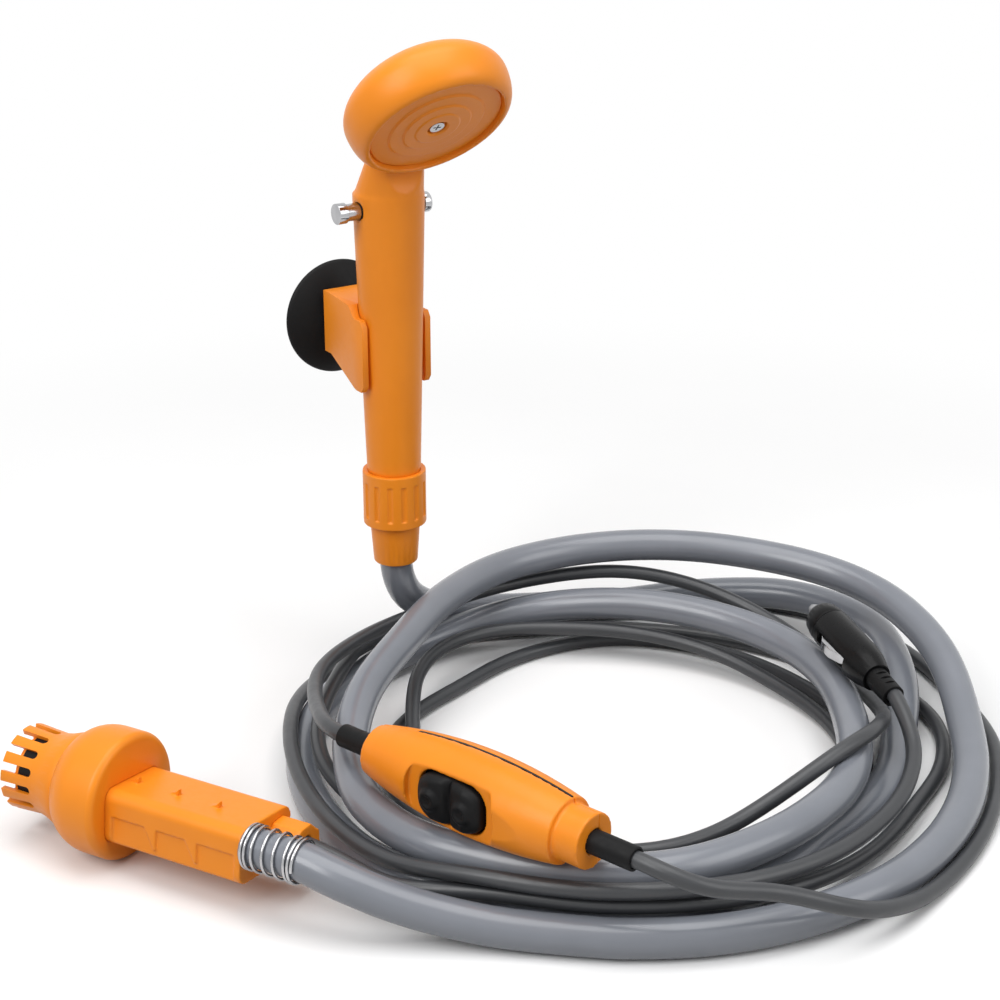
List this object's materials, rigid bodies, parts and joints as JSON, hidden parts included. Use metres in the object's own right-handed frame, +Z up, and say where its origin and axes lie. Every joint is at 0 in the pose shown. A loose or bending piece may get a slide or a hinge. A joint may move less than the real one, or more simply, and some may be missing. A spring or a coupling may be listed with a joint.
{
  "type": "camp_shower_pump",
  "caption": "12 V camp shower: a submersible pump with strainer, a coiled grey hose, an orange hand shower in a suction-cup holder, an in-line switch and a car plug",
  "frame": {"origin": "On the floor, under the middle of the box around pump, hand shower and holder, without hose, cable, switch and plug.", "axes": "+Z up along the hand shower's handle, -Y towards the side that the picture shows, +X to the right in the picture."},
  "size_m": [0.4408, 0.3512, 0.3181],
  "materials": {
    "orange_plastic": "satin moulded plastic with soft highlights",
    "black_plastic": "fine matt moulded plastic",
    "black_rubber": "soft black rubber",
    "red_seal": "soft sealing rubber",
    "grey_hose": "smooth flexible vinyl with a long highlight",
    "grey_cable": "satin flexible vinyl",
    "chrome": "bright plated metal",
    "steel": "plain turned steel",
    "brass": "plain brass"
  },
  "bodies": {
    "base": {"inlet_cover": "orange_plastic", "pump_head": "orange_plastic", "motor_housing": "orange_plastic", "housing_seal": "red_seal", "shaft_seal": "red_seal", "motor_can": "steel", "magnets": "steel", "front_bearing": "brass", "rear_bearing": "brass", "brush_plate": "black_plastic", "brushes": "steel", "outlet_pipe": "orange_plastic", "cable_gland": "orange_plastic", "gland_seal": "black_rubber", "hose_spring": "chrome", "hose_lead": "grey_hose", "hose_coil": "grey_hose", "hose_riser": "grey_hose", "pump_cable": "grey_cable", "plug_cable": "grey_cable", "handset_shell": "orange_plastic", "spray_face": "orange_plastic", "face_seal": "red_seal", "face_screw": "chrome", "hose_tail": "orange_plastic", "tail_washer": "black_rubber", "switch_front_shell": "orange_plastic", "switch_rear_shell": "orange_plastic", "seam_strip": "black_plastic", "rocker_pin": "steel", "contact_block": "black_plastic", "terminals": "brass", "switch_screws": "steel", "left_relief": "black_rubber", "right_relief": "black_rubber", "plug_barrel": "black_plastic", "plug_cap": "black_plastic", "fuse": "steel", "plug_relief": "black_rubber"},
    "strainer": {"strainer_basket": "orange_plastic", "foam_filter": "black_rubber"},
    "rotor": {"impeller": "black_plastic", "motor_shaft": "steel", "armature": "steel", "commutator": "brass"},
    "valve": {"valve_pin": "chrome", "pin_cap": "chrome", "valve_seals": "black_rubber"},
    "nut": {"union_nut": "orange_plastic"},
    "holder": {"holder_clip": "orange_plastic"},
    "cup": {"suction_cup": "black_rubber", "cup_stud": "chrome"},
    "rocker_body": {"rocker": "black_plastic"},
    "tip": {"tip_contact": "steel", "tip_spring": "steel"},
    "left_leaf": {"left_contact": "chrome"},
    "right_leaf": {"right_contact": "chrome"}
  },
  "joints": [
    {"name": "strainer_pull", "type": "slide", "parent": "base", "child": "strainer", "axis": [-0.8746, 0.4848, 0], "range_m": [0, 0.045]},
    {"name": "rotor_spin", "type": "hinge", "parent": "base", "child": "rotor", "pos_m": [-0.05336, -0.0867, 0.024], "axis": [0.8746, -0.4848, 0], "continuous": true},
    {"name": "valve_push", "type": "slide", "parent": "base", "child": "valve", "axis": [0.8387, 0.5446, 0], "range_m": [0, 0.006]},
    {"name": "nut_turn", "type": "hinge", "parent": "base", "child": "nut", "pos_m": [0.0511, 0.0882, 0.092], "axis": [0, 0, 1], "continuous": true},
    {"name": "holder_pull", "type": "slide", "parent": "base", "child": "holder", "axis": [-0.5446, 0.8387, 0], "range_m": [0, 0.06]},
    {"name": "cup_turn", "type": "hinge", "parent": "holder", "child": "cup", "pos_m": [0.02931, 0.12175, 0.17], "axis": [-0.5446, 0.8387, 0], "continuous": true},
    {"name": "rocker_tilt", "type": "hinge", "parent": "base", "child": "rocker_body", "pos_m": [0.08663, -0.12771, 0.0472], "axis": [0, 0, 1], "range_deg": [-5, 5]},
    {"name": "tip_push", "type": "slide", "parent": "base", "child": "tip", "axis": [0.314, -0.9438, -0.1028], "range_m": [0, 0.003], "stiffness_N_per_m": 600},
    {"name": "left_contact_push", "type": "slide", "parent": "base", "child": "left_leaf", "axis": [0.9489, 0.3156, 0], "range_m": [0, 0.001], "stiffness_N_per_m": 800},
    {"name": "right_contact_push", "type": "slide", "parent": "base", "child": "right_leaf", "axis": [-0.9489, -0.3156, 0], "range_m": [0, 0.001], "stiffness_N_per_m": 800}
  ]
}
